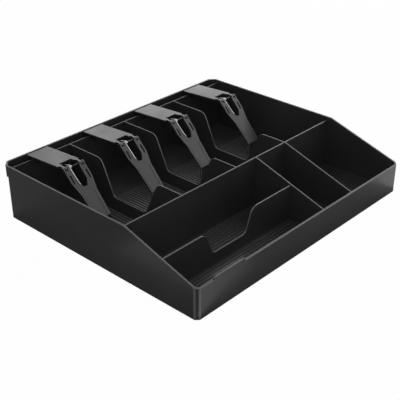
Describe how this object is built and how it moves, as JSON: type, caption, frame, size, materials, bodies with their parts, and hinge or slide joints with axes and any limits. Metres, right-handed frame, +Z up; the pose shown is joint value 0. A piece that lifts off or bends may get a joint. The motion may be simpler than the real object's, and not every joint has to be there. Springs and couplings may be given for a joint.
{
  "type": "cash tray",
  "caption": "Open moulded cash tray with note slots at the back, a sprung hinged clip over each slot, and coin bays behind a low sloping front.",
  "frame": {"origin": "middle of the underside of the tray", "axes": "+X to the right of a person at the coin bays, +Y to the back where the clips are, +Z up"},
  "size_m": [0.325, 0.276, 0.0649],
  "materials": {
    "tray_plastic": "satin",
    "clip_plastic": "satin",
    "pin_steel": "blackened",
    "steel": "bright"
  },
  "bodies": {
    "tray": {"tray_body": "tray_plastic", "clip_base_1": "clip_plastic", "clip_pin_1": "pin_steel", "clip_spring_1": "steel", "clip_base_2": "clip_plastic", "clip_pin_2": "pin_steel", "clip_spring_2": "steel", "clip_base_3": "clip_plastic", "clip_pin_3": "pin_steel", "clip_spring_3": "steel", "clip_base_4": "clip_plastic", "clip_pin_4": "pin_steel", "clip_spring_4": "steel"},
    "arm_1": {"clip_arm_1": "clip_plastic"},
    "arm_2": {"clip_arm_2": "clip_plastic"},
    "arm_3": {"clip_arm_3": "clip_plastic"},
    "arm_4": {"clip_arm_4": "clip_plastic"}
  },
  "joints": [
    {"name": "clip_1_lift", "type": "hinge", "parent": "tray", "child": "arm_1", "pos_m": [-0.11836, 0.0758, 0.0627], "axis": [-1, 0, 0], "range_deg": [0, 110], "stiffness_Nm_per_rad": 0.043, "springref_deg": -57.3, "deforming": ["clip_spring_1"]},
    {"name": "clip_2_lift", "type": "hinge", "parent": "tray", "child": "arm_2", "pos_m": [-0.04099, 0.0758, 0.0627], "axis": [-1, 0, 0], "range_deg": [0, 110], "stiffness_Nm_per_rad": 0.043, "springref_deg": -57.3, "deforming": ["clip_spring_2"]},
    {"name": "clip_3_lift", "type": "hinge", "parent": "tray", "child": "arm_3", "pos_m": [0.03639, 0.0758, 0.0627], "axis": [-1, 0, 0], "range_deg": [0, 110], "stiffness_Nm_per_rad": 0.043, "springref_deg": -57.3, "deforming": ["clip_spring_3"]},
    {"name": "clip_4_lift", "type": "hinge", "parent": "tray", "child": "arm_4", "pos_m": [0.11986, 0.0758, 0.0627], "axis": [-1, 0, 0], "range_deg": [0, 110], "stiffness_Nm_per_rad": 0.043, "springref_deg": -57.3, "deforming": ["clip_spring_4"]}
  ]
}
